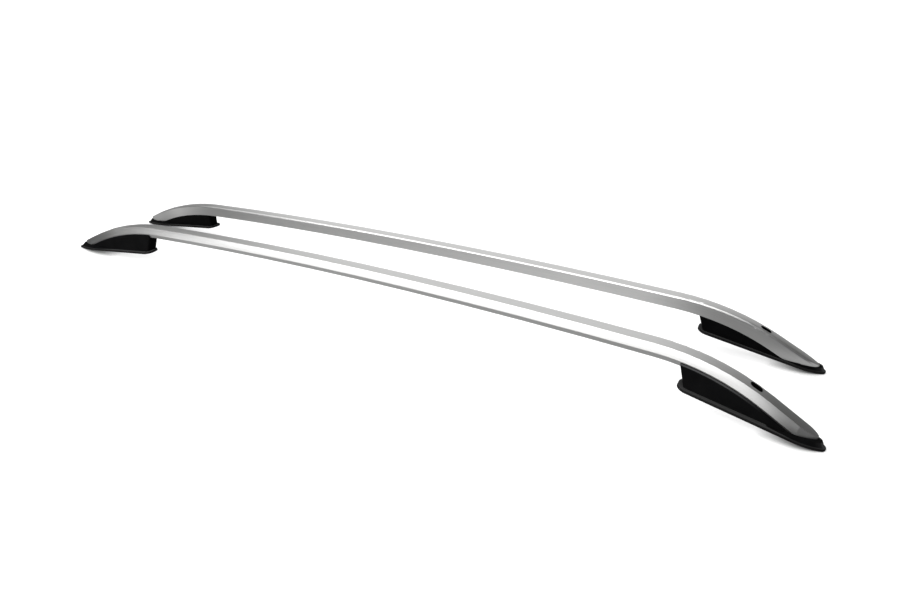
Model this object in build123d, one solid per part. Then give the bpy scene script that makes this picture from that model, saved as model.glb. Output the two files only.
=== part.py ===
"""Pair of roof side rails: bowed aluminium bars on moulded feet with rubber base pads.

Frame: millimetres, +X to the front of the vehicle, +Y to its left, +Z up. The origin is midway
between the two rails and midway along them, at the level of the four pad tips that the pair rests on.
Each rail is drawn upright in the plane Y = 0, then leaned inwards onto its base line. The left rail
mirrors the right one.
"""
import os
from math import asin, atan2, cos, radians, sin, tan

from build123d import *

# Layout of the pair
rail_length = 1870.0
base_spacing = 231.0
lean_angle = 10.2
toe_angle = 0.2

# Line of the bar's top, in the upright plane; the bow rises over the start of the front bend
crown_height = 127.3
crown_offset = 85.0
bow_rise = 12.6

# Bar extrusion
bar_width = 26.0
top_slope = 12.2
top_crown = 0.7
inner_side = 28.5
outer_side = 16.5
side_bulge = 0.4
bar_depth = 29.0
heel_inset = 4.5
bar_wall = 2.2
inner_edge = 4.0
shoulder_edge = 5.0
heel_edge = 1.5
nose_margin = 1.5
tail = 190.0

# Openings in the bar for the fixing bolts
access_length = 22.0
access_width = 13.0
bolt_hole = 9.0

# Base pads
pad_width = 40.0
pad_thickness = 5.0
pad_corner = 17.0
pad_edge = 1.5
pad_lip = 6.0
pad_recess = 1.2
toe_sink = 0.8

# Moulded feet
foot_width = 27.0
foot_draft = 0.5
foot_height = 62.0
foot_corner = 5.0
ledge = 1.6
ledge_drop = 2.5
toe_width = 38.8
toe_draft = 10.0
foot_wall = 3.0
foot_ceiling = 3.5
saddle_depth = 20.0
rib = 2.5

# Fixing sleeves and foot screws
sleeve_bore = 8.5
sleeve_outer = 15.0
boss_outer = 22.0
screw_shank = 5.0
screw_point = 2.0
screw_head = 9.5
screw_head_height = 3.6
screw_drive = 4.0
screw_drive_depth = 2.0
nut_side = 12.0
nut_height = 4.0
seat_outer = 13.0

# Named clearances
bar_fit = 0.3
bore_fit = 0.3
nut_fit = 0.1

half_length = rail_length / 2
half_spacing = base_spacing / 2
half_width = bar_width / 2
top_drop = half_width * tan(radians(top_slope))

# The bar's floor rises towards its inner side
floor_rise = bar_depth + top_drop - inner_side
floor_run = bar_width - heel_inset
floor_angle = atan2(floor_rise, floor_run)
floor_depth = bar_depth - floor_rise * (half_width - heel_inset) / floor_run

# What differs between the two ends of a rail; distances are taken from the pad's tip
ends = {
    "front": {
        "side": 1,
        "bend_run": 280.0,
        "bend_radius": 424.0,
        "slope": 29.4,
        "base_angle": 11.0,
        "pad_length": 240.5,
        "pad_skew": 0.0,
        "splay": 0.9,
        "tip_radius": 9.0,
        "shoulder": 52.0,
        "foot_length": 229.5,
        "overhang": 34.0,
        "toe_tip": 1.2,
        "toe_run": 9.8,
        "toe_length": 110.0,
        "trim_height": 13.0,
        "nose": 14.0,
        "nose_length": 52.0,
        "bolt": 129.0,
        "screws": (172.0, 208.0),
    },
    "rear": {
        "side": -1,
        "bend_run": 331.0,
        "bend_radius": 690.0,
        "slope": 25.2,
        "base_angle": 7.2,
        "pad_length": 313.0,
        "pad_skew": 8.0,
        "splay": 0.0,
        "tip_radius": 6.0,
        "shoulder": 110.0,
        "foot_length": 300.0,
        "overhang": 26.0,
        "toe_tip": 1.5,
        "toe_run": 25.5,
        "toe_length": 170.0,
        "trim_height": 16.5,
        "nose": 30.0,
        "nose_length": 58.0,
        "bolt": 160.0,
        "screws": (215.0, 272.0),
    },
}

# Radius of the bow, from its rise between the crown and the start of the front bend
bow_reach = half_length - ends["front"]["bend_run"] - crown_offset
bow_radius = (bow_reach**2 + bow_rise**2) / (2 * bow_rise)


def bow_angle(end):
    """Slope of the bow where an end's bend starts, in radians, positive to the front."""
    start = end["side"] * (half_length - end["bend_run"])
    return asin((start - crown_offset) / bow_radius)


def bow_point(angle, depth):
    reach = bow_radius - depth
    return (crown_offset + reach * sin(angle), 0, crown_height - bow_radius + reach * cos(angle))


def bend_centre(end):
    """Centre of an end's bend, on the bow's own radius so that the two run smoothly together."""
    start = bow_angle(end)
    reach = bow_radius - end["bend_radius"]
    return (crown_offset + reach * sin(start), crown_height - bow_radius + reach * cos(start))


def bend_point(end, angle, depth):
    centre = bend_centre(end)
    reach = end["bend_radius"] - depth
    return (centre[0] + reach * sin(angle), 0, centre[1] + reach * cos(angle))


def end_slope(end):
    return end["side"] * radians(end["slope"])


def tail_point(end, depth):
    """Far end of the straight tail that runs on past the bend."""
    x, y, z = bend_point(end, end_slope(end), depth)
    return (x + tail * cos(end_slope(end)) * end["side"], y, z - tail * sin(radians(end["slope"])))


def top_line(depth):
    """The line of the bar, at a depth below its top, from the rear tail to the front tail."""
    rear, front = ends["rear"], ends["front"]
    edges = []
    bow_rear, bow_front = bow_angle(rear), bow_angle(front)
    rear_mid = (end_slope(rear) + bow_rear) / 2
    front_mid = (end_slope(front) + bow_front) / 2
    rear_end = bend_point(rear, end_slope(rear), depth)
    front_end = bend_point(front, end_slope(front), depth)
    rear_start, front_start = bow_point(bow_rear, depth), bow_point(bow_front, depth)
    edges.append(Line(tail_point(rear, depth), rear_end))
    edges.append(ThreePointArc(rear_end, bend_point(rear, rear_mid, depth), rear_start))
    edges.append(ThreePointArc(rear_start, bow_point((bow_rear + bow_front) / 2, depth), front_start))
    edges.append(ThreePointArc(front_start, bend_point(front, front_mid, depth), front_end))
    edges.append(Line(front_end, tail_point(front, depth)))
    return Wire(edges)


def bar_outline():
    """Section of the bar before rounding: crowned top, flat inner side, full outer side, tucked-in heel."""
    heel = half_width - heel_inset
    side_bottom = -top_drop - outer_side
    inner_bottom = top_drop - inner_side
    with BuildSketch() as sketch:
        with BuildLine():
            ThreePointArc((half_width, top_drop), (0, top_crown), (-half_width, -top_drop))
            bulge = (-half_width - side_bulge, -top_drop - outer_side / 2)
            ThreePointArc((-half_width, -top_drop), bulge, (-half_width, side_bottom))
            Line((-half_width, side_bottom), (-heel, -bar_depth))
            Line((-heel, -bar_depth), (half_width, inner_bottom))
            Line((half_width, inner_bottom), (half_width, top_drop))
        make_face()
    return sketch.sketch


def bar_section(growth):
    """Outside of the bar, with its rounded edges, grown all round."""
    with BuildSketch() as sketch:
        add(bar_outline())
        corners = sketch.vertices().sort_by(Axis.X)
        inner = corners[-2:].sort_by(Axis.Y)
        outer = corners[:2].sort_by(Axis.Y)
        fillet(inner[1], inner_edge)
        fillet(outer[1], shoulder_edge)
        fillet(outer[0], heel_edge)
        fillet(sketch.vertices().sort_by(Axis.Y)[0], heel_edge)
        fillet(inner[0], heel_edge)
        if growth:
            offset(amount=growth, mode=Mode.REPLACE)
    return sketch.sketch


def hollow_section():
    """Inside of the bar, one wall in from its outline."""
    return offset(bar_outline(), amount=-bar_wall, kind=Kind.INTERSECTION)


def swept(section):
    """A section drawn along the line of the bar."""
    path = top_line(0)
    plane = Plane(origin=path @ 0, x_dir=(0, 1, 0), z_dir=path % 0)
    return sweep(plane * section, path=path)


def below_line(depth):
    """Block of space under the line of the bar."""
    reach = crown_height + tail
    wire = top_line(depth)
    rear, front = wire @ 0, wire @ 1
    floor = [
        Line(front, (front.X, 0, -reach)),
        Line((front.X, 0, -reach), (rear.X, 0, -reach)),
        Line((rear.X, 0, -reach), rear),
    ]
    outline = Wire(list(wire.edges()) + floor)
    return extrude(Face(outline), amount=2 * bar_width, both=True)


def leaned(shape):
    """Leans an upright piece of the right rail inwards and sets it on its base line."""
    return Pos(0, -half_spacing, 0) * Rot(-lean_angle, 0, 0) * shape


def placed(shape):
    """Toes a finished piece of the right rail outwards at the front, about the middle of its base line."""
    return Pos(0, -half_spacing, 0) * Rot(0, 0, -toe_angle) * Pos(0, half_spacing, 0) * shape


def level_plane(end, height, angle):
    """Plane across an end, level from side to side, that rises from the tip towards the middle."""
    side = end["side"]
    return Plane(
        origin=(side * half_length, -half_spacing, height),
        x_dir=(0, 1, 0),
        z_dir=(side * sin(radians(angle)), 0, cos(radians(angle))),
    )


def pad_plane(end):
    """Plane of a pad's underside, its X along the line where the pad meets the leaning rail."""
    side = end["side"]
    rise = tan(radians(end["base_angle"]))
    return Plane(
        origin=(side * (half_length - pad_thickness * rise), -half_spacing, -toe_sink),
        x_dir=(-side, rise * tan(radians(lean_angle)), rise),
        z_dir=(side * sin(radians(end["base_angle"])), 0, cos(radians(end["base_angle"]))),
    )


def pad_top(end):
    base = pad_plane(end)
    return base.offset(pad_thickness)


def trim_plane(end):
    return level_plane(end, end["trim_height"], end["base_angle"] / 2)


def foot_plane(end):
    """Plane of a foot's base line in the upright frame, its X from the tip towards the middle."""
    side = end["side"]
    angle = radians(end["base_angle"])
    return Plane(
        origin=(side * half_length, 0, 0),
        x_dir=(-side * cos(angle), 0, sin(angle)),
        z_dir=(side * sin(angle), 0, cos(angle)),
    )


def tip_edges(tip, shoulder, half, radius):
    """Round tip and two long flanks of a plan outline, in tangent arcs from shoulder to shoulder."""
    reach = shoulder - tip - radius
    flank = (reach**2 + half**2 - radius**2) / (2 * (half - radius))
    turn = atan2(reach, flank - half)

    def on_flank(angle, side):
        return (shoulder - flank * sin(angle), side * (half - flank + flank * cos(angle)))

    return [
        ThreePointArc(on_flank(0, 1), on_flank(turn / 2, 1), on_flank(turn, 1)),
        ThreePointArc(on_flank(turn, 1), (tip, 0), on_flank(turn, -1)),
        ThreePointArc(on_flank(turn, -1), on_flank(turn / 2, -1), on_flank(0, -1)),
    ]


def plan(end, tip, shoulder, ends_at, width, end_width, corner):
    """Plan outline of a foot: round tip, straight flanks and an inner end that runs from side to side."""
    half, end_half = width / 2, end_width / 2
    right_end, left_end = ends_at
    edges = tip_edges(tip, shoulder, half, end["tip_radius"] * width / pad_width)
    sides = Polyline((shoulder, -half), (right_end, -end_half), (left_end, end_half), (shoulder, half))
    face = make_face(edges + sides.edges())
    return fillet(face.vertices().sort_by(Axis.X)[-2:], corner)


def splayed(end, outline):
    """Turns a plan outline about the pad's inner end, so that its tip points outwards."""
    length = end["pad_length"]
    return Pos(length, 0, 0) * Rot(0, 0, -end["side"] * end["splay"]) * Pos(-length, 0, 0) * outline


def nose_block(growth):
    """Upright block whose plan rounds both noses of the bar."""
    half = half_width + nose_margin + growth
    front, rear = ends["front"], ends["rear"]
    front_end = half_length - front["nose"] + growth
    rear_end = half_length - rear["nose"] + growth
    front_arc = front_end - front["nose_length"]
    rear_arc = rear_end - rear["nose_length"]
    with BuildSketch(Plane.XY.offset(-crown_height)) as sketch:
        with BuildLine():
            EllipticalCenterArc((front_arc, 0), front["nose_length"], half, start_angle=-90, arc_size=180)
            Line((front_arc, half), (-rear_arc, half))
            EllipticalCenterArc((-rear_arc, 0), rear["nose_length"], half, start_angle=90, arc_size=180)
            Line((-rear_arc, -half), (front_arc, -half))
        make_face()
    return extrude(sketch.sketch, amount=3 * crown_height)


def trimmed(shape):
    """Cuts both noses of the bar off along the tops of the toes they sit on."""
    for end in ends.values():
        block = Box(
            4 * bar_width,
            end["pad_length"],
            2 * crown_height,
            align=(Align.CENTER, Align.CENTER, Align.MAX),
        )
        shape -= trim_plane(end) * block
    return shape.solids().sort_by(SortBy.VOLUME)[-1]


def bar_envelope():
    """Room that the bar takes up in the feet, with its side clearance."""
    return trimmed(leaned(swept(bar_section(bar_fit)) & nose_block(bar_fit)))


def bolt_plane(end):
    """Plane across the fixing bolt where its axis crosses the base line, upright frame."""
    base = foot_plane(end)
    return Plane(origin=base.from_local_coords((end["bolt"], 0, 0)), x_dir=base.x_dir, z_dir=base.z_dir)


def screw_plane(end, distance):
    """Plane of the bar's sloping underside at a foot screw, upright frame."""
    centre = bend_centre(end)
    x = end["side"] * (half_length - distance)
    angle = asin((x - centre[0]) / end["bend_radius"])
    upward = cos(floor_angle)
    return Plane(
        origin=bend_point(end, angle, floor_depth),
        x_dir=(cos(angle), 0, -sin(angle)),
        z_dir=(upward * sin(angle), -sin(floor_angle), upward * cos(angle)),
    )


def make_bar():
    tube = swept(bar_section(0)) & nose_block(0)
    tube -= swept(hollow_section()) & nose_block(-bar_wall)
    for end in ends.values():
        plane = bolt_plane(end)
        access = plane * Pos(0, 0, bar_depth) * SlotOverall(access_length, access_width)
        tube -= extrude(access, amount=4 * bar_depth) & below_line(-bar_depth) - below_line(bar_depth / 2)
        tube -= extrude(plane * Circle(bolt_hole / 2), amount=4 * bar_depth) & below_line(bar_depth / 2)
        for distance in end["screws"]:
            hole = screw_plane(end, distance) * Circle(screw_shank / 2 + bore_fit)
            tube -= extrude(hole, amount=bar_depth / 2, both=True)
    return trimmed(leaned(tube))


def drafted(end, low, high):
    """Block between a plan outline on a foot's base line and another at its full height."""
    plane = foot_plane(end)
    return loft([plane * low, plane.offset(foot_height) * high], ruled=True)


def foot_blank(end, inset):
    """Walls of a foot under the bar (or its cavity, when inset), overhanging at the inner end."""
    narrowing = foot_height * tan(radians(foot_draft))
    width = foot_width - 2 * inset
    length = end["foot_length"] - inset
    top_width = width - 2 * narrowing
    top_length = length + end["overhang"]
    tip, shoulder, corner = end["nose"] + inset, end["shoulder"], foot_corner - inset / 2
    low = plan(end, tip, shoulder, (length, length), width, width, corner)
    high = plan(end, tip, shoulder, (top_length, top_length), top_width, top_width, corner)
    return drafted(end, low, high)


def toe_blank(end):
    """Flared toe of a foot, which runs out past the nose of the bar and back into the walls."""
    narrowing = foot_height * tan(radians(toe_draft))
    slope_run = end["toe_run"] * foot_height / end["trim_height"]
    tip, shoulder, length = end["toe_tip"], end["shoulder"], end["toe_length"]
    low = plan(end, tip, shoulder, (length, length), toe_width, foot_width, foot_corner)
    top_width, top_end = toe_width - 2 * narrowing, foot_width - 2 * narrowing
    top_corner = foot_corner * top_end / foot_width
    high = plan(end, tip + slope_run, shoulder + narrowing, (length, length), top_width, top_end, top_corner)
    return drafted(end, splayed(end, low), splayed(end, high))


def foot_cavity(end):
    """Hollow underside of a foot, less the bolt boss, the screw seats and the cross ribs."""
    plane = foot_plane(end)
    cavity = foot_blank(end, foot_wall) & below_line(bar_depth + bar_fit + foot_ceiling)
    start = end["shoulder"] + foot_wall
    keep = plane * Pos(start, 0, 0) * Box(
        end["pad_length"], pad_width, 2 * foot_height, align=(Align.MIN, Align.CENTER, Align.CENTER)
    )
    cavity = cavity & keep
    cavity -= extrude(bolt_plane(end) * Circle(boss_outer / 2), amount=foot_height)
    for offset_along in (-boss_outer, boss_outer):
        web = Box(rib, pad_width, 2 * foot_height)
        cavity -= plane * Pos(end["bolt"] + offset_along, 0, 0) * web
    for distance in end["screws"]:
        seat = screw_plane(end, distance).offset(-2 * foot_ceiling) * Circle(seat_outer / 2)
        cavity -= extrude(seat, amount=4 * foot_ceiling)
    return cavity


def inner_strip():
    """Space beside the bar's inner side, which the feet leave open down to its lower edge."""
    depth = inner_side - top_drop + bar_fit
    beside = Pos(0, half_width - ledge, 0) * Box(
        2 * rail_length, 2 * bar_width, 4 * crown_height, align=(Align.CENTER, Align.MIN, Align.CENTER)
    )
    return (below_line(-bar_depth) - below_line(depth)) & beside


def make_foot(end, envelope):
    walls = foot_blank(end, 0) & below_line(saddle_depth + ledge_drop)
    walls += foot_blank(end, ledge) & below_line(saddle_depth)
    walls -= inner_strip()
    toe = split(leaned(toe_blank(end)), bisect_by=trim_plane(end), keep=Keep.BOTTOM)
    foot = leaned(walls) + toe - leaned(foot_cavity(end))
    foot = split(foot, bisect_by=pad_top(end), keep=Keep.TOP) - envelope
    foot -= leaned(extrude(bolt_plane(end) * Circle(sleeve_outer / 2 + bore_fit), amount=2 * foot_height))
    for distance in end["screws"]:
        plane = screw_plane(end, distance)
        foot -= leaned(extrude(plane * Circle(screw_shank / 2 + bore_fit), amount=bar_depth, both=True))
    return foot.solids().sort_by(SortBy.VOLUME)[-1]


def pad_outline(end, inset):
    """Plan of a pad, whose inner end is skewed so that its outer side is the longer one."""
    long_side = end["pad_length"] - inset
    short_side = long_side - end["pad_skew"]
    ends_at = (short_side, long_side) if end["side"] > 0 else (long_side, short_side)
    width = pad_width - 2 * inset
    outline = plan(end, inset, end["shoulder"] + inset, ends_at, width, width, pad_corner - inset)
    return splayed(end, outline)


def make_pad(end):
    plane = pad_plane(end)
    pad = extrude(plane * pad_outline(end, 0), amount=pad_thickness)
    rim = pad.faces().sort_by(Axis(plane.origin, plane.z_dir))[-1]
    pad = fillet(rim.edges(), pad_edge)
    recess_start = end["shoulder"]
    recess = extrude(plane * pad_outline(end, pad_lip), amount=pad_recess)
    recess &= plane * Pos(recess_start, 0, 0) * Box(
        end["pad_length"], pad_width, 4 * pad_recess, align=(Align.MIN, Align.CENTER, Align.CENTER)
    )
    pad -= recess
    hole = leaned(extrude(bolt_plane(end) * Circle(sleeve_outer / 2 + bore_fit), amount=foot_height, both=True))
    pad -= hole
    return split(pad, bisect_by=Plane.XY, keep=Keep.TOP)


def make_sleeve(end, envelope):
    plane = bolt_plane(end)
    tube = extrude(plane * Circle(sleeve_outer / 2), amount=foot_height, both=True)
    tube -= extrude(plane * Circle(sleeve_bore / 2), amount=2 * foot_height, both=True)
    tube = leaned(tube & below_line(bar_depth / 2))
    tube = split(tube, bisect_by=pad_plane(end).offset(pad_recess), keep=Keep.TOP) - envelope
    return tube.solids().sort_by(SortBy.VOLUME)[-1]


def make_screw(end, distance):
    seat = screw_plane(end, distance).offset(-2 * foot_ceiling)
    length = 2 * foot_ceiling + bar_wall + nut_height + screw_point
    screw = extrude(seat * Circle(screw_shank / 2), amount=length)
    head = extrude(seat * Circle(screw_head / 2), amount=-screw_head_height)
    socket = seat.offset(-screw_head_height) * RegularPolygon(screw_drive / 2, 6, major_radius=False)
    screw += head
    screw -= extrude(socket, amount=screw_drive_depth)
    return leaned(screw)


def make_nut(end, distance):
    seat = screw_plane(end, distance).offset(bar_wall + nut_fit)
    nut = extrude(seat * Rectangle(nut_side, nut_side), amount=nut_height)
    nut -= extrude(seat * Circle(screw_shank / 2 + bore_fit), amount=nut_height)
    return leaned(nut)


def right_rail():
    """All pieces of the right rail, by name."""
    envelope = bar_envelope()
    pieces = {"bar": make_bar()}
    for name, end in ends.items():
        pieces[f"{name}_foot"] = make_foot(end, envelope)
        pieces[f"{name}_pad"] = make_pad(end)
        pieces[f"{name}_sleeve"] = make_sleeve(end, envelope)
        for number, distance in enumerate(end["screws"], 1):
            pieces[f"{name}_screw_{number}"] = make_screw(end, distance)
            pieces[f"{name}_nut_{number}"] = make_nut(end, distance)
    return pieces


os.makedirs("parts", exist_ok=True)
for piece_name, upright_piece in right_rail().items():
    piece = placed(upright_piece)
    export_step(piece, f"parts/right_{piece_name}.step")
    export_step(mirror(piece, about=Plane.XZ), f"parts/left_{piece_name}.step")
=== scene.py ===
"""Looks of the roof side rail pair: satin aluminium bars, moulded black feet and rubber base pads.

Frame: metres, +X to the front of the vehicle, +Y to its left, +Z up, as in the solids. A pair of numbers
holds the bounds of a soft step or of a range, unless its heading says what else it is.
"""
from math import asin, atan2, cos, hypot, radians, sin, sqrt, tan

import bpy
from mathutils import Matrix, Vector

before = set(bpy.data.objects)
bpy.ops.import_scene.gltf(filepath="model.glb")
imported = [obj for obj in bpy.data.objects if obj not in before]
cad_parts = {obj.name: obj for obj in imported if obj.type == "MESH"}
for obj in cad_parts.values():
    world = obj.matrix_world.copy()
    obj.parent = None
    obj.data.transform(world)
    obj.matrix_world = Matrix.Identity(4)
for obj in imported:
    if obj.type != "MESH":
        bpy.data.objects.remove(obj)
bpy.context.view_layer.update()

# Camera: the picture's width and focal length in pixels, then its place and turn
picture_width = 920
focal_pixels = 616.55
sensor_width = 36.0
camera_place = Vector((0.7760, -1.0592, 0.6573))
camera_yaw = radians(-27.75)
camera_pitch = radians(27.71)
camera_roll = radians(-0.35)
camera_reach = 200.0

# Line of the bars, as in the solids
half_length = 0.935
half_spacing = 0.1155
lean = radians(10.2)
toe_out = radians(0.2)
crown_height = 0.1273
crown_offset = 0.085
bow_rise = 0.0126
bends = {
    "Front": {"side": 1, "run": 0.280, "radius": 0.424, "slope": radians(29.4)},
    "Rear": {"side": -1, "run": 0.331, "radius": 0.690, "slope": radians(25.2)},
}
bow_reach = half_length - bends["Front"]["run"] - crown_offset
bow_radius = (bow_reach**2 + bow_rise**2) / (2 * bow_rise)

# Section of the bars, as in the solids, and the depth of its middle
half_width = 0.013
top_slope = radians(12.2)
top_crown = 0.0007
inner_edge = 0.004
section_middle = 0.011

# Rounded inner top edge of the section: its centre, and the angle at which it meets the crowned top
half_chord = half_width / cos(top_slope)
top_sink = (half_chord**2 - top_crown**2) / (2 * top_crown * cos(top_slope))
top_radius = hypot(half_chord, top_sink)
edge_across = half_width - inner_edge
edge_run = edge_across - top_sink * sin(top_slope)
edge_rise = sqrt((top_radius - inner_edge) ** 2 - edge_run**2)
edge_depth = top_sink * cos(top_slope) - edge_rise
edge_top = atan2(edge_rise, edge_run)

# Where its own normal gives way to the mesh's: by distance from the centre, and by how far the two agree
edge_reach = (0.0049, 0.0056)
edge_agree = (0.70, 0.85)

# Soft box
key_place = Vector((-0.32, -1.25, 0.80))
key_aim = Vector((-0.32, 0.0, 0.62))
key_width = 2.36
key_height = 1.6
key_power = 51.5

# Surround: tones, and where its panels rise and fall along, across and up a direction
sky_bright = 1.16
sky_dim = 0.17
sky_rise = (-0.79, -0.63)
sky_fall = (-0.22, 0.66)
low_share = 0.25
low_side = (-0.45, 0.05)
low_height = (0.15, 0.50)
end_bright = 0.7
end_ahead = (0.80, 0.93)
end_behind = (-0.98, -0.93)
over_bright = 1.8
over_height = (0.50, 0.72)
over_side = (-0.05, 0.30)
over_rise = (-0.30, -0.05)
over_fall = (0.42, 0.62)
over_behind = (-0.60, -0.46)

# Floor: its size, its tone and glow to the eye, its tone to other light, and its contact shade
floor_reach = 40.0
floor_roughness = 0.9
floor_tone = 0.55
floor_glow = 0.55
far_glow = 0.68
far_floor = (0.7, 1.6)
mirror_tone = 0.30
contact_reach = 0.02
contact_samples = 4

# Cards on the floor: places along the rails with the card's tone there, and where each ends across them
card_span = (-1.5, 1.1)
table_card = ((-1.05, 0.10), (-0.80, 0.27), (0.65, 0.27), (0.85, 0.08), (0.90, 0.08), (0.94, 0.24))
inner_card = (
    (-0.95, 0.75), (-0.76, 0.30), (-0.3, 0.44), (0.1, 0.58), (0.4, 0.70),
    (0.58, 0.68), (0.70, 0.32), (0.83, 0.28), (0.92, 0.45),
)
inner_edges = (-0.09, 0.10)
inner_soft = 0.05
strip_card = ((0.72, 0.0), (0.80, 0.45), (0.90, 0.80))
strip_edges = (0.058, 0.12)
strip_soft = 0.012
front_card = ((0.84, 1.0), (0.88, 0.04))
front_edges = (-1.6, -0.20)
front_soft = 0.08
rear_turn = radians(38.5)
rear_edge = (-0.37, -0.23)
far_tone = 0.6
far_edges = (0.26, 3.0)
far_soft = 0.08

# Noise textures: the range that holds most of their values, and how fine and rough they are
noise_range = (0.3, 0.7)
fine_detail = 3.0
plain_detail = 2.0
line_roughness = 0.6
plain_roughness = 0.5

# Satin aluminium of the bars
silver = {
    "colour": (0.50, 0.50, 0.495, 1),
    # painted shade: the walls of the bar's hollow are near black, standing in for the shade inside it
    "hollow_painted_shade": (0.02, 0.02, 0.02, 1),
    "line_scale": 900.0,
    "line_stretch": 0.012,
    "patch_scale": 40.0,
    "patch_share": 0.5,
    "tint": (0.94, 1.05),
    "roughness": (0.30, 0.38),
    "relief": 0.06,
    "relief_depth": 0.0002,
}
# Painted shade on the bars: their colour darkens towards both ends, standing in for darker reflections
# there; its level, then where it comes in at the front and at the rear
painted_end_shade = 0.64
painted_shade_front = (0.79, 0.885)
painted_shade_rear = (-0.83, -0.74)

# Black mouldings, and where a painted highlight turns them grey: by depth and place along the bar, and by
# facing
foot_plastic = {
    "colour": (0.0025, 0.0025, 0.0026, 1),
    # painted highlight: the grey that stands in for light caught by the foot's edges
    "painted_highlight": (0.040, 0.040, 0.041, 1),
    "pebble_scale": 1500.0,
    "relief": 0.15,
    "shine": 0.007,
    "roughness": (0.50, 0.60),
}
pad_rubber = {
    "colour": (0.006, 0.006, 0.006, 1),
    # painted highlight: the grey that stands in for light caught by the pad's lip
    "painted_highlight": (0.027, 0.027, 0.027, 1),
    "pebble_scale": 1100.0,
    "relief": 0.25,
    "shine": 0.05,
    "roughness": (0.55, 0.65),
}
moulding_patches = 35.0
moulding_tint = (0.8, 1.2)
moulding_depth = 0.0003
highlight_upper = (0.0222, 0.0230)
highlight_lower = (0.0252, 0.0262)
highlight_start = (0.0, 0.5)
highlight_end = (0.76, 0.84)
toe_highlight_start = (0.88, 0.90)
toe_highlight_facing = (0.35, 0.85)
lip_highlight_facing = (0.75, 0.97)

# Zinc plate of the hidden steel
zinc = {
    "colour": (0.58, 0.59, 0.60, 1),
    "line_stretch": 0.3,
    "patch_scale": 90.0,
    "tint": (0.85, 1.1),
    "roughness": (0.25, 0.4),
    "relief": 0.1,
    "relief_depth": 0.0002,
}
sleeve_lines = 1200.0
screw_lines = 1600.0
nut_lines = 1400.0


def make_camera():
    """Camera at the photograph's viewpoint."""
    data = bpy.data.cameras.new("camera")
    data.sensor_width = sensor_width
    data.sensor_fit = "HORIZONTAL"
    data.lens = focal_pixels * sensor_width / picture_width
    data.clip_end = camera_reach
    level = cos(camera_pitch)
    forward = Vector((sin(camera_yaw) * level, cos(camera_yaw) * level, -sin(camera_pitch)))
    right = Vector((cos(camera_yaw), -sin(camera_yaw), 0))
    up = right.cross(forward)
    turned_right = cos(camera_roll) * right + sin(camera_roll) * up
    turned_up = cos(camera_roll) * up - sin(camera_roll) * right
    turn = Matrix((turned_right, turned_up, -forward)).transposed().to_4x4()
    camera = bpy.data.objects.new("camera", data)
    camera.matrix_world = Matrix.Translation(camera_place) @ turn
    bpy.context.scene.collection.objects.link(camera)
    bpy.context.scene.camera = camera


class Tree:
    """Short hand for building a node tree. A value is a number, a colour or another node's output."""

    def __init__(self, tree):
        self.tree = tree

    def feed(self, socket, value):
        """Links a socket to an output, or sets its value."""
        if isinstance(value, bpy.types.NodeSocket):
            self.tree.links.new(value, socket)
        else:
            socket.default_value = value

    def node(self, kind, settings=None, **inputs):
        """Adds a node; each input goes by the socket's name, with _ for a space."""
        node = self.tree.nodes.new(kind)
        for name, value in (settings or {}).items():
            setattr(node, name, value)
        for name, value in inputs.items():
            self.feed(node.inputs[name.replace("_", " ")], value)
        return node

    def group(self, group, **inputs):
        """Places a node group and gives its outputs."""
        return self.node("ShaderNodeGroup", {"node_tree": group}, **inputs).outputs

    def math(self, operation, *values):
        """A Math node's result."""
        node = self.node("ShaderNodeMath", {"operation": operation})
        for socket, value in zip(node.inputs, values):
            self.feed(socket, value)
        return node.outputs["Value"]

    def product(self, first, *others):
        """Values multiplied together."""
        for value in others:
            first = self.math("MULTIPLY", first, value)
        return first

    def largest(self, first, *others):
        """The largest of some values."""
        for value in others:
            first = self.math("MAXIMUM", first, value)
        return first

    def distance(self, first, second):
        """Straight distance over two measures at right angles."""
        squares = self.math("ADD", self.math("POWER", first, 2), self.math("POWER", second, 2))
        return self.math("SQRT", squares)

    def turned(self, first, second, angle):
        """Two measures at right angles after a turn."""
        run = self.math("MULTIPLY_ADD", second, -sin(angle), self.math("MULTIPLY", first, cos(angle)))
        rise = self.math("MULTIPLY_ADD", second, cos(angle), self.math("MULTIPLY", first, sin(angle)))
        return run, rise

    def object_place(self):
        """Place of a surface point in the object's frame."""
        return self.node("ShaderNodeTexCoord").outputs["Object"]

    def normal(self):
        """Direction that the surface faces."""
        return self.node("ShaderNodeNewGeometry").outputs["Normal"]

    def axes(self, vector):
        """Parts of a vector along X, Y and Z."""
        return self.node("ShaderNodeSeparateXYZ", Vector=vector).outputs

    def mix(self, kind, share, first, second):
        """A number, colour or vector that goes from one to another by a share."""
        node = self.node("ShaderNodeMix", {"data_type": kind}, Factor=share, A=first, B=second)
        return node.outputs["Result"]

    def shaded(self, colour, share):
        """A colour made darker or lighter by a share."""
        settings = {"data_type": "RGBA", "blend_type": "MULTIPLY"}
        node = self.node("ShaderNodeMix", settings, Factor=1.0, A=colour, B=share)
        return node.outputs["Result"]

    def ranged(self, value, bounds, levels, kind="LINEAR"):
        """A value between two bounds brought to lie between two levels."""
        limits = dict(zip(("From_Min", "From_Max", "To_Min", "To_Max"), (*bounds, *levels)))
        node = self.node("ShaderNodeMapRange", {"interpolation_type": kind}, Value=value, **limits)
        return node.outputs["Result"]

    def noise(self, place, scale, detail, roughness=plain_roughness):
        """A noise texture's value."""
        node = self.node("ShaderNodeTexNoise", Vector=place, Scale=scale, Detail=detail, Roughness=roughness)
        return node.outputs["Fac"]

    def spread(self, noise, levels):
        """A noise value brought to a range."""
        return self.ranged(noise, noise_range, levels)

    def step(self, value, bounds, low=0.0, high=1.0):
        """A soft step from one level to another as a value passes between two bounds."""
        return self.ranged(value, bounds, (low, high), "SMOOTHSTEP")

    def fall(self, value, bounds):
        """A soft step from 1 down to 0."""
        return self.step(value, bounds, 1.0, 0.0)

    def band(self, value, bounds, soft):
        """A soft-edged mask between two bounds."""
        low, high = bounds
        return self.product(
            self.step(value, (low - soft, low + soft)), self.fall(value, (high - soft, high + soft))
        )


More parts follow.
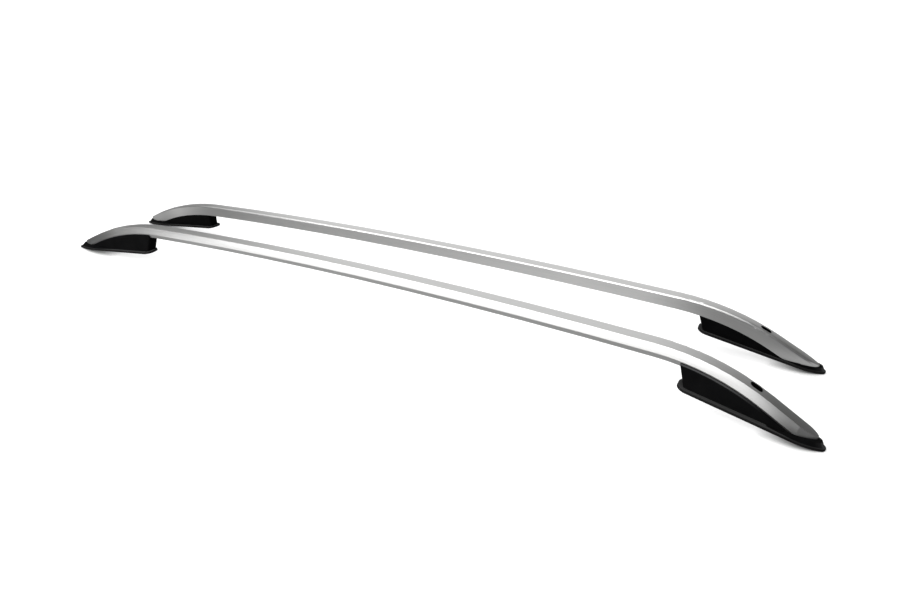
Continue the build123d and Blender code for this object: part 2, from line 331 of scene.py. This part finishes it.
def new_group(name, inputs, outputs, normals=()):
    """Shader node group with named sockets; gives its tree, its inputs and its output node's sockets."""
    group = bpy.data.node_groups.new(name, "ShaderNodeTree")
    for label in inputs:
        group.interface.new_socket(label, in_out="INPUT", socket_type="NodeSocketFloat")
    for label in outputs:
        group.interface.new_socket(label, in_out="OUTPUT", socket_type="NodeSocketFloat")
    for label in normals:
        group.interface.new_socket(label, in_out="OUTPUT", socket_type="NodeSocketVector")
    tree = Tree(group)
    return tree, tree.node("NodeGroupInput").outputs, tree.node("NodeGroupOutput").inputs


def make_bend_depth():
    """Depth below the bar's top line in a bend and in the straight tail after it, and the line's turn."""
    inputs = ("Along", "Height", "Centre Along", "Centre Height", "Radius", "Low Angle", "High Angle")
    tree, given, result = new_group("bend_depth", inputs, ("Depth", "Turn"))
    along = tree.math("SUBTRACT", given["Along"], given["Centre Along"])
    height = tree.math("SUBTRACT", given["Height"], given["Centre Height"])
    angle = tree.math("MINIMUM", tree.math("ARCTAN2", along, height), given["High Angle"])
    angle = tree.math("MAXIMUM", angle, given["Low Angle"])
    reach = tree.math("MULTIPLY", along, tree.math("SINE", angle))
    reach = tree.math("MULTIPLY_ADD", height, tree.math("COSINE", angle), reach)
    tree.feed(result["Depth"], tree.math("SUBTRACT", given["Radius"], reach))
    tree.feed(result["Turn"], angle)
    return tree.tree


def top_line(tree, bend_depth, along, height):
    """Depth below the bar's top line, over the bow and both bends, and the line's turn there."""
    bow_centre = crown_height - bow_radius
    from_crown = tree.math("SUBTRACT", along, crown_offset)
    from_centre = tree.math("SUBTRACT", height, bow_centre)
    depth = tree.math("SUBTRACT", bow_radius, tree.distance(from_crown, from_centre))
    turn = tree.math("ARCTAN2", from_crown, from_centre)
    for bend in bends.values():
        start = bend["side"] * (half_length - bend["run"])
        first = asin((start - crown_offset) / bow_radius)
        last = bend["side"] * bend["slope"]
        inset = bow_radius - bend["radius"]
        bent = tree.group(
            bend_depth,
            Along=along,
            Height=height,
            Centre_Along=crown_offset + inset * sin(first),
            Centre_Height=bow_centre + inset * cos(first),
            Radius=bend["radius"],
            Low_Angle=min(first, last),
            High_Angle=max(first, last),
        )
        past = tree.math("GREATER_THAN" if bend["side"] > 0 else "LESS_THAN", along, start)
        depth = tree.mix("FLOAT", past, depth, bent["Depth"])
        turn = tree.mix("FLOAT", past, turn, bent["Turn"])
    return depth, turn


def facing_inside(tree, inner_side, across, depth):
    """1 where a surface of the bar faces the middle of its section, as the walls of its hollow do."""
    facing = tree.axes(tree.normal())
    facing_across, facing_up = tree.turned(tree.product(facing["Y"], inner_side), facing["Z"], lean)
    outward = tree.product(facing_across, across)
    outward = tree.math("MULTIPLY_ADD", facing_up, tree.math("SUBTRACT", section_middle, depth), outward)
    return tree.math("LESS_THAN", outward, 0.0)


def edge_normal(tree, inner_side, across, depth, turn):
    """Normal of the bar's rounded inner top edge, worked out from its section, and the mesh's elsewhere."""
    from_across = tree.math("SUBTRACT", across, edge_across)
    from_up = tree.math("SUBTRACT", edge_depth, depth)
    angle = tree.math("MINIMUM", tree.math("ARCTAN2", from_up, from_across), edge_top)
    angle = tree.math("MAXIMUM", angle, 0.0)
    upright = tree.math("SINE", angle)
    ahead = tree.product(upright, tree.math("SINE", turn))
    upright = tree.product(upright, tree.math("COSINE", turn))
    inward, upward = tree.turned(tree.math("COSINE", angle), upright, -lean)
    sideways = tree.product(inward, inner_side)
    rounded = tree.node("ShaderNodeCombineXYZ", X=ahead, Y=sideways, Z=upward).outputs["Vector"]
    spaces = {"vector_type": "NORMAL", "convert_from": "OBJECT", "convert_to": "WORLD"}
    rounded = tree.node("ShaderNodeVectorTransform", spaces, Vector=rounded).outputs["Vector"]
    normal = tree.normal()
    compare = tree.node("ShaderNodeVectorMath", {"operation": "DOT_PRODUCT"})
    tree.feed(compare.inputs[0], rounded)
    tree.feed(compare.inputs[1], normal)
    near = tree.fall(tree.distance(from_across, from_up), edge_reach)
    share = tree.product(near, tree.step(compare.outputs["Value"], edge_agree))
    blend = tree.mix("VECTOR", share, normal, rounded)
    return tree.node("ShaderNodeVectorMath", {"operation": "NORMALIZE"}, Vector=blend).outputs["Vector"]


def make_bar_place(bend_depth):
    """Place of a surface point on its rail: along the rail, below the bar's top line, and across it.

    It also tells the bar's hollow from its outside, and gives the normal of its rounded inner top edge.
    """
    outputs = ("Along", "Depth", "Across", "Inside")
    tree, _, result = new_group("bar_place", (), outputs, ("Edge Normal",))
    axes = tree.axes(tree.object_place())
    along = axes["X"]
    base = tree.math("MULTIPLY_ADD", along, tan(toe_out), half_spacing)
    inward = tree.math("SUBTRACT", base, tree.math("ABSOLUTE", axes["Y"]))
    inner_side = tree.product(tree.math("SIGN", axes["Y"]), -1.0)
    across, height = tree.turned(inward, axes["Z"], lean)
    depth, turn = top_line(tree, bend_depth, along, height)
    tree.feed(result["Along"], along)
    tree.feed(result["Depth"], depth)
    tree.feed(result["Across"], across)
    tree.feed(result["Inside"], facing_inside(tree, inner_side, across, depth))
    tree.feed(result["Edge Normal"], edge_normal(tree, inner_side, across, depth, turn))
    return tree.tree


def make_drawn_grain():
    """Fine lines that run along a drawn or turned surface, with slow patches over them."""
    inputs = ("Along", "Depth", "Across", "Line Scale", "Stretch", "Patch Scale")
    tree, given, result = new_group("drawn_grain", inputs, ("Lines", "Patches"))
    stretched = tree.product(given["Along"], given["Stretch"])
    place = tree.node("ShaderNodeCombineXYZ", X=stretched, Y=given["Depth"], Z=given["Across"])
    place = place.outputs["Vector"]
    lines = tree.noise(place, given["Line Scale"], fine_detail, line_roughness)
    tree.feed(result["Lines"], lines)
    tree.feed(result["Patches"], tree.noise(place, given["Patch Scale"], plain_detail))
    return tree.tree


def make_moulded_skin():
    """Fine pebbled skin of a moulding, with slow patches of duller and shinier surface."""
    tree, given, result = new_group("moulded_skin", ("Pebble Scale", "Patch Scale"), ("Height", "Patches"))
    place = tree.object_place()
    tree.feed(result["Height"], tree.noise(place, given["Pebble Scale"], plain_detail))
    tree.feed(result["Patches"], tree.noise(place, given["Patch Scale"], fine_detail))
    return tree.tree


def new_material(name):
    """Material with its tree and its Principled shader's inputs."""
    material = bpy.data.materials.new(name)
    material.use_nodes = True
    return material, Tree(material.node_tree), material.node_tree.nodes["Principled BSDF"].inputs


def make_silver(bar_place, drawn_grain):
    """Satin anodised aluminium with fine lines along the bar, painted shade that darkens it near both ends,
    and painted shade that makes its hollow near black inside.
    """
    material, tree, shader = new_material("satin_aluminium")
    place = tree.group(bar_place)
    grain = tree.group(
        drawn_grain,
        Along=place["Along"],
        Depth=place["Depth"],
        Across=place["Across"],
        Line_Scale=silver["line_scale"],
        Stretch=silver["line_stretch"],
        Patch_Scale=silver["patch_scale"],
    )
    lines = grain["Lines"]
    # Painted shade: the colour darkens towards both ends of the bar
    front_painted_shade = tree.step(place["Along"], painted_shade_front, 1.0, painted_end_shade)
    rear_painted_shade = tree.step(place["Along"], painted_shade_rear, painted_end_shade, 1.0)
    outside = tree.shaded(silver["colour"], tree.spread(lines, silver["tint"]))
    outside = tree.shaded(outside, tree.product(front_painted_shade, rear_painted_shade))
    # The hollow's walls get the near-black painted shade instead of the aluminium's colour
    tree.feed(shader["Base Color"], tree.mix("RGBA", place["Inside"], outside, silver["hollow_painted_shade"]))
    wear = tree.mix("FLOAT", silver["patch_share"], lines, grain["Patches"])
    tree.feed(shader["Roughness"], tree.spread(wear, silver["roughness"]))
    bump = tree.node(
        "ShaderNodeBump",
        Strength=silver["relief"],
        Distance=silver["relief_depth"],
        Height=lines,
        Normal=place["Edge Normal"],
    )
    tree.feed(shader["Normal"], bump.outputs["Normal"])
    shader["Metallic"].default_value = 1.0
    return material


def finish_moulding(tree, shader, moulded_skin, finish, painted_highlight):
    """Black moulded plastic or rubber with a fine skin, greyer where a mask paints a highlight on it."""
    skin = tree.group(moulded_skin, Pebble_Scale=finish["pebble_scale"], Patch_Scale=moulding_patches)
    plain = tree.shaded(finish["colour"], tree.spread(skin["Patches"], moulding_tint))
    tree.feed(shader["Base Color"], tree.mix("RGBA", painted_highlight, plain, finish["painted_highlight"]))
    tree.feed(shader["Roughness"], tree.spread(skin["Patches"], finish["roughness"]))
    bump = tree.node(
        "ShaderNodeBump", Strength=finish["relief"], Distance=moulding_depth, Height=skin["Height"]
    )
    tree.feed(shader["Normal"], bump.outputs["Normal"])
    shader["Specular IOR Level"].default_value = finish["shine"]


def make_foot_plastic(moulded_skin, bar_place):
    """Black plastic with a painted highlight along the front feet's top edge, just under the bar, and on the
    toe's front.
    """
    material, tree, shader = new_material("moulded_plastic")
    place = tree.group(bar_place)
    along, depth = place["Along"], place["Depth"]
    # Painted highlight along the top edge just under the bar, and on the toe's forward-facing front
    top_edge_highlight = tree.product(tree.step(depth, highlight_upper), tree.fall(depth, highlight_lower))
    top_edge_highlight = tree.product(top_edge_highlight, tree.step(along, highlight_start), tree.fall(along, highlight_end))
    ahead = tree.axes(tree.normal())["X"]
    toe_highlight = tree.product(tree.step(ahead, toe_highlight_facing), tree.step(along, toe_highlight_start))
    finish_moulding(tree, shader, moulded_skin, foot_plastic, tree.largest(top_edge_highlight, toe_highlight))
    return material


def make_pad_rubber(moulded_skin):
    """Black rubber with a painted highlight on the upper face of the pad's lip, where it stands out round
    the foot.
    """
    material, tree, shader = new_material("pad_rubber")
    upward = tree.axes(tree.normal())["Z"]
    # Painted highlight on the faces that look upward
    finish_moulding(tree, shader, moulded_skin, pad_rubber, tree.step(upward, lip_highlight_facing))
    return material


def make_zinc(name, drawn_grain, line_scale):
    """Bright zinc plate on steel with turned lines."""
    material, tree, shader = new_material(name)
    axes = tree.axes(tree.object_place())
    grain = tree.group(
        drawn_grain,
        Along=axes["X"],
        Depth=axes["Z"],
        Across=axes["Y"],
        Line_Scale=line_scale,
        Stretch=zinc["line_stretch"],
        Patch_Scale=zinc["patch_scale"],
    )
    tree.feed(shader["Base Color"], tree.shaded(zinc["colour"], tree.spread(grain["Patches"], zinc["tint"])))
    tree.feed(shader["Roughness"], tree.spread(grain["Lines"], zinc["roughness"]))
    bump = tree.node(
        "ShaderNodeBump", Strength=zinc["relief"], Distance=zinc["relief_depth"], Height=grain["Lines"]
    )
    tree.feed(shader["Normal"], bump.outputs["Normal"])
    shader["Metallic"].default_value = 1.0
    return material


def dress_solids():
    """Gives each solid of the rails its finish."""
    bar_place = make_bar_place(make_bend_depth())
    drawn_grain = make_drawn_grain()
    moulded_skin = make_moulded_skin()
    finishes = {
        "bar": make_silver(bar_place, drawn_grain),
        "foot": make_foot_plastic(moulded_skin, bar_place),
        "pad": make_pad_rubber(moulded_skin),
        "sleeve": make_zinc("turned_steel", drawn_grain, sleeve_lines),
        "screw": make_zinc("zinc_screw", drawn_grain, screw_lines),
        "nut": make_zinc("zinc_nut", drawn_grain, nut_lines),
    }
    for name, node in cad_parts.items():
        kind = next(label for label in finishes if f"_{label}" in name)
        if not node.material_slots:
            node.data.materials.append(finishes[kind])
        for slot in node.material_slots:
            slot.material = finishes[kind]


def card_tones(tree, along, stops):
    """Tone of a card along the rails, between its stops."""
    start, end = card_span
    ramp = tree.node("ShaderNodeValToRGB", Fac=tree.ranged(along, card_span, (0.0, 1.0)))
    points = ramp.color_ramp.elements
    points.remove(points[-1])
    for place, tone in stops:
        points.new((place - start) / (end - start)).color = (tone, tone, tone, 1)
    points.remove(points[0])
    return ramp.outputs["Color"]


def floor_cards(tree, place):
    """Tones that the bars mirror in the floor: the table's own, and the cards laid on it."""
    axes = tree.axes(place)
    along, across = axes["X"], axes["Y"]
    inner = tree.product(card_tones(tree, along, inner_card), tree.band(across, inner_edges, inner_soft))
    strip = tree.product(card_tones(tree, along, strip_card), tree.band(across, strip_edges, strip_soft))
    skew = tree.product(along, sin(rear_turn))
    skew = tree.math("MULTIPLY_ADD", across, -cos(rear_turn), skew)
    front = tree.product(card_tones(tree, along, front_card), tree.band(across, front_edges, front_soft))
    front = tree.product(front, tree.step(skew, rear_edge))
    far = tree.product(tree.band(across, far_edges, far_soft), far_tone)
    return tree.largest(card_tones(tree, along, table_card), inner, strip, front, far)


def make_floor():
    """Pale studio floor, white to the eye with the rails' shadow on it; the rails mirror its cards."""
    corners = [(x * floor_reach, y * floor_reach, 0) for x, y in ((-1, -1), (1, -1), (1, 1), (-1, 1))]
    mesh = bpy.data.meshes.new("floor")
    mesh.from_pydata(corners, [], [(0, 1, 2, 3)])
    floor = bpy.data.objects.new("floor", mesh)
    bpy.context.scene.collection.objects.link(floor)
    material, tree, shader = new_material("floor_white")
    place = tree.object_place()
    cards = floor_cards(tree, place)
    path = tree.node("ShaderNodeLightPath").outputs
    seen = path["Is Camera Ray"]
    mirrored = tree.largest(path["Is Glossy Ray"], path["Is Transmission Ray"])
    contact = tree.node("ShaderNodeAmbientOcclusion", {"samples": contact_samples}, Distance=contact_reach)
    contact = contact.outputs["AO"]
    tone = tree.mix("FLOAT", seen, tree.product(cards, mirror_tone), floor_tone)
    away = tree.node("ShaderNodeVectorMath", {"operation": "LENGTH"}, Vector=place).outputs["Value"]
    glow = tree.product(seen, tree.step(away, far_floor, floor_glow, far_glow))
    glow = tree.largest(glow, tree.product(mirrored, cards))
    tree.feed(shader["Base Color"], tree.product(tone, contact))
    tree.feed(shader["Emission Strength"], tree.product(glow, contact))
    shader["Emission Color"].default_value = (1, 1, 1, 1)
    shader["Roughness"].default_value = floor_roughness
    shader["Specular IOR Level"].default_value = 0.0
    mesh.materials.append(material)


def make_sky():
    """Soft studio surround, white to the eye: bright to the rear, dim ahead and low on the near side.

    For the bars to mirror, a panel stands at each end of the rails and two more hang over them.
    """
    world = bpy.data.worlds.new("studio")
    world.use_nodes = True
    bpy.context.scene.world = world
    tree = Tree(world.node_tree)
    axes = tree.axes(tree.node("ShaderNodeTexCoord").outputs["Generated"])
    along, across, up = axes["X"], axes["Y"], axes["Z"]
    rear = tree.product(tree.step(along, sky_rise), tree.fall(along, sky_fall))
    level = tree.mix("FLOAT", rear, sky_dim, sky_bright)
    low = tree.product(tree.fall(across, low_side), tree.fall(up, low_height))
    level = tree.product(level, tree.mix("FLOAT", low, 1.0, low_share))
    ends = tree.math("ADD", tree.step(along, end_ahead), tree.fall(along, end_behind))
    level = tree.math("MULTIPLY_ADD", ends, end_bright, level)
    over = tree.product(tree.step(along, over_rise), tree.fall(along, over_fall))
    over = tree.math("ADD", over, tree.fall(along, over_behind))
    over = tree.product(over, tree.step(up, over_height), tree.fall(across, over_side))
    level = tree.math("MULTIPLY_ADD", over, over_bright, level)
    seen = tree.node("ShaderNodeLightPath").outputs["Is Camera Ray"]
    background = world.node_tree.nodes["Background"].inputs
    tree.feed(background["Strength"], tree.mix("FLOAT", seen, level, 1.0))
    background["Color"].default_value = (1, 1, 1, 1)


def make_key():
    """One large soft box beside the near rail, towards its rear."""
    light = bpy.data.lights.new("key", "AREA")
    light.shape = "RECTANGLE"
    light.size = key_width
    light.size_y = key_height
    light.energy = key_power
    key = bpy.data.objects.new("key", light)
    key.location = key_place
    key.rotation_euler = (key_aim - key_place).to_track_quat("-Z", "Y").to_euler()
    bpy.context.scene.collection.objects.link(key)


dress_solids()
make_floor()
make_sky()
make_key()
make_camera()
bpy.context.scene.view_settings.view_transform = "Standard"
